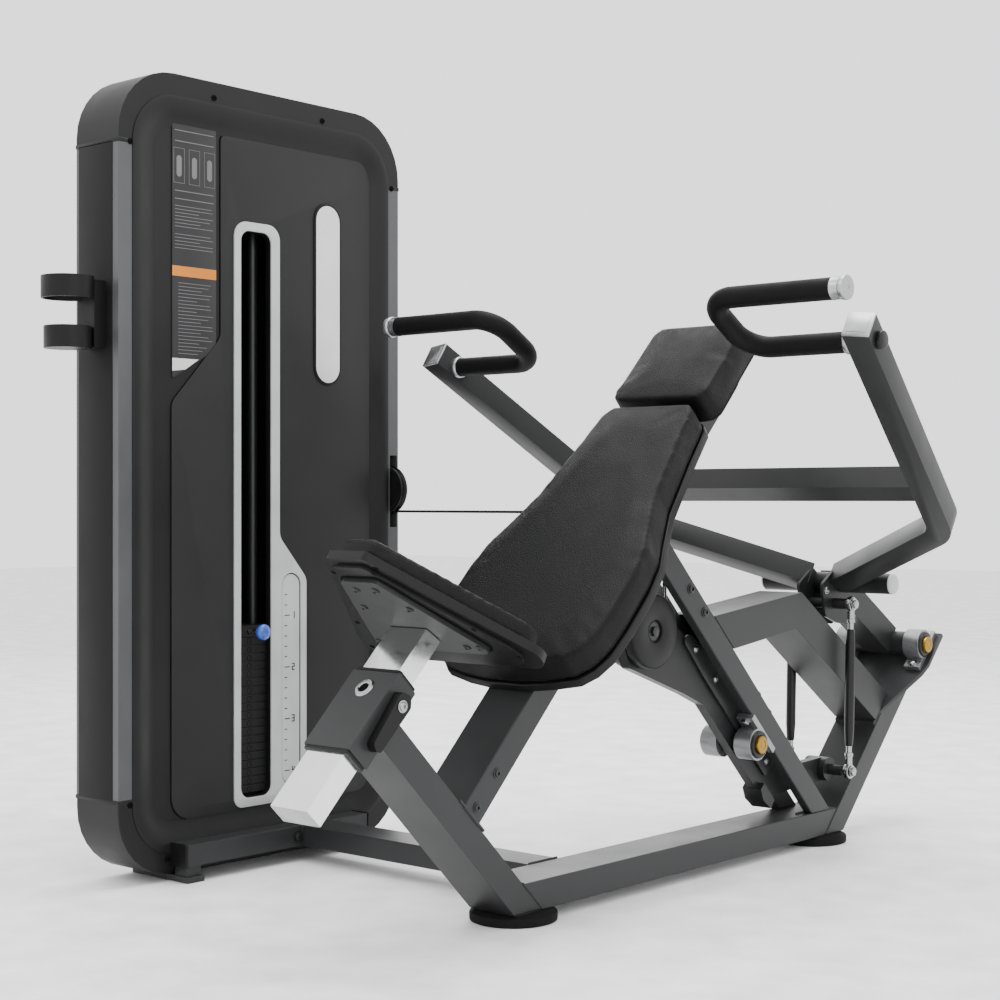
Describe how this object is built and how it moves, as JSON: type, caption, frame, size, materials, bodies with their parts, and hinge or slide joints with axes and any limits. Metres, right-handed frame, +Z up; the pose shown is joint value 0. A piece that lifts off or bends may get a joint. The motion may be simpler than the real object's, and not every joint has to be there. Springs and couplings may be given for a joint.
{
  "type": "shoulder press machine",
  "caption": "Reclined shoulder press machine with bent press arms and U-shaped grips, linked by rods and a lever to a weight stack in a tower at the side",
  "frame": {"origin": "floor level, at the centre of the bounding box", "axes": "+X to the user's left as they sit, away from the weight tower; +Y to the rear, behind the back rest; +Z up"},
  "size_m": [1.315, 1.8356, 1.5],
  "materials": {
    "frame_paint": "satin charcoal powder coat",
    "arm_paint": "satin charcoal powder coat",
    "column_paint": "satin grey powder coat",
    "shroud_plastic": "fine-textured moulded plastic",
    "grey_plastic": "smooth satin plastic",
    "white_plastic": "printed satin plastic",
    "cast_silver": "cast, silver painted",
    "chrome": "polished",
    "cast_black": "black painted",
    "rod_black": "black satin",
    "bracket_grey": "grey satin",
    "moulded_black": "moulded, satin",
    "upholstery": "fine-grained vinyl leather",
    "rubber": "matte",
    "pulley_plastic": "nylon, satin",
    "knob_blue": "gloss knob on a steel pin",
    "cable_jacket": "nylon-coated steel cable"
  },
  "bodies": {
    "root": {"base_rail": "frame_paint", "foot_front": "rubber", "foot_rear": "rubber", "front_post": "frame_paint", "back_spine": "frame_paint", "rear_post_left": "frame_paint", "rear_post_right": "frame_paint", "rear_tube": "frame_paint", "bent_beam": "frame_paint", "arm_bearing_left": "cast_silver", "lever_bearing_left": "cast_silver", "arm_bearing_right": "cast_silver", "lever_bearing_right": "cast_silver", "seat_sleeve": "frame_paint", "back_shell": "moulded_black", "back_pad": "upholstery", "head_pad": "upholstery", "cap_top": "shroud_plastic", "cap_bottom": "shroud_plastic", "column_front": "column_paint", "column_rear": "column_paint", "shroud_user_side": "shroud_plastic", "shroud_wall_side": "shroud_plastic", "slot_bezel": "grey_plastic", "name_plate": "white_plastic", "exercise_card": "white_plastic", "weight_stack": "cast_black", "stack_cushion": "rubber", "guide_rod_front": "chrome", "guide_rod_rear": "chrome", "tower_pulley_frame": "frame_paint", "back_pulley_bracket": "frame_paint", "cable_run": "cable_jacket", "tower_base_tube": "frame_paint", "cross_tube": "frame_paint", "bottle_holder": "moulded_black"},
    "press_arms": {"arm_left": "arm_paint", "arm_right": "arm_paint", "arm_crossbar": "arm_paint", "arm_hinge": "arm_paint", "grip_left": "rubber", "grip_right": "rubber"},
    "link_rods": {"link_rod_left": "rod_black", "link_rod_right": "rod_black"},
    "lever": {"lever_plate": "arm_paint", "lever_disc_left": "cast_black", "lever_disc_right": "cast_black", "cable_lever": "cable_jacket"},
    "stack_head": {"head_plate": "cast_black", "cable_stack": "cable_jacket"},
    "selector_pin": {"selector_pin": "knob_blue"},
    "seat": {"seat_tube": "chrome", "seat_bracket": "bracket_grey", "seat_shell": "moulded_black", "seat_pad": "upholstery"},
    "seat_latch": {"seat_latch": "moulded_black"},
    "top_pulley_front": {"top_pulley_front": "pulley_plastic"},
    "top_pulley_rear": {"top_pulley_rear": "pulley_plastic"},
    "side_pulley": {"side_pulley": "pulley_plastic"},
    "back_pulley": {"back_pulley": "pulley_plastic"}
  },
  "joints": [
    {"name": "press_pivot", "type": "hinge", "parent": "root", "child": "press_arms", "pos_m": [0.1465, 0.83559, 0.394], "axis": [-1, 0, 0], "range_deg": [0, 30]},
    {"name": "rod_pivot", "type": "hinge", "parent": "press_arms", "child": "link_rods", "pos_m": [0.1465, 0.57859, 0.491], "axis": [1, 0, 0], "range_deg": [0, 19.91]},
    {"name": "lever_pivot", "type": "hinge", "parent": "root", "child": "lever", "pos_m": [0.1465, 0.25059, 0.232], "axis": [1, 0, 0], "range_deg": [0, 22.31], "deforming": ["cable_lever"]},
    {"name": "stack_lift", "type": "slide", "parent": "root", "child": "stack_head", "axis": [0, 0, 1], "range_m": [0, 0.1212], "deforming": ["cable_stack"]},
    {"name": "pin_pull", "type": "slide", "parent": "stack_head", "child": "selector_pin", "axis": [1, 0, 0], "range_m": [0, 0.075]},
    {"name": "seat_height", "type": "slide", "parent": "root", "child": "seat", "axis": [0, 0.7071, 0.7071], "range_m": [-0.05, 0.1]},
    {"name": "latch_squeeze", "type": "hinge", "parent": "root", "child": "seat_latch", "pos_m": [0.2045, -0.74458, 0.39174], "axis": [1, 0, 0], "range_deg": [-18, 0], "stiffness_Nm_per_rad": 1.5},
    {"name": "top_pulley_front_spin", "type": "hinge", "parent": "root", "child": "top_pulley_front", "pos_m": [-0.594, -0.34492, 1.375], "axis": [-1, 0, 0], "range_deg": [0, 153.5]},
    {"name": "top_pulley_rear_spin", "type": "hinge", "parent": "root", "child": "top_pulley_rear", "pos_m": [-0.594, -0.05591, 1.375], "axis": [-1, 0, 0], "range_deg": [0, 153.5]},
    {"name": "side_pulley_spin", "type": "hinge", "parent": "root", "child": "side_pulley", "pos_m": [-0.5485, -0.01091, 0.7285], "axis": [0, -1, 0], "range_deg": [0, 151.82]},
    {"name": "back_pulley_spin", "type": "hinge", "parent": "root", "child": "back_pulley", "pos_m": [0.1045, 0.02058, 0.641], "axis": [0, 1, 0], "range_deg": [0, 164.43]}
  ],
  "couplings": [
    {"joint": "rod_pivot", "follows": "press_pivot", "ratio": 0.657},
    {"joint": "lever_pivot", "follows": "press_pivot", "ratio": 0.737},
    {"joint": "stack_lift", "follows": "press_pivot", "m_per_rad": 0.2295},
    {"joint": "top_pulley_front_spin", "follows": "press_pivot", "ratio": 5.1},
    {"joint": "top_pulley_rear_spin", "follows": "press_pivot", "ratio": 5.1},
    {"joint": "side_pulley_spin", "follows": "press_pivot", "ratio": 5.044},
    {"joint": "back_pulley_spin", "follows": "press_pivot", "ratio": 5.4643}
  ]
}
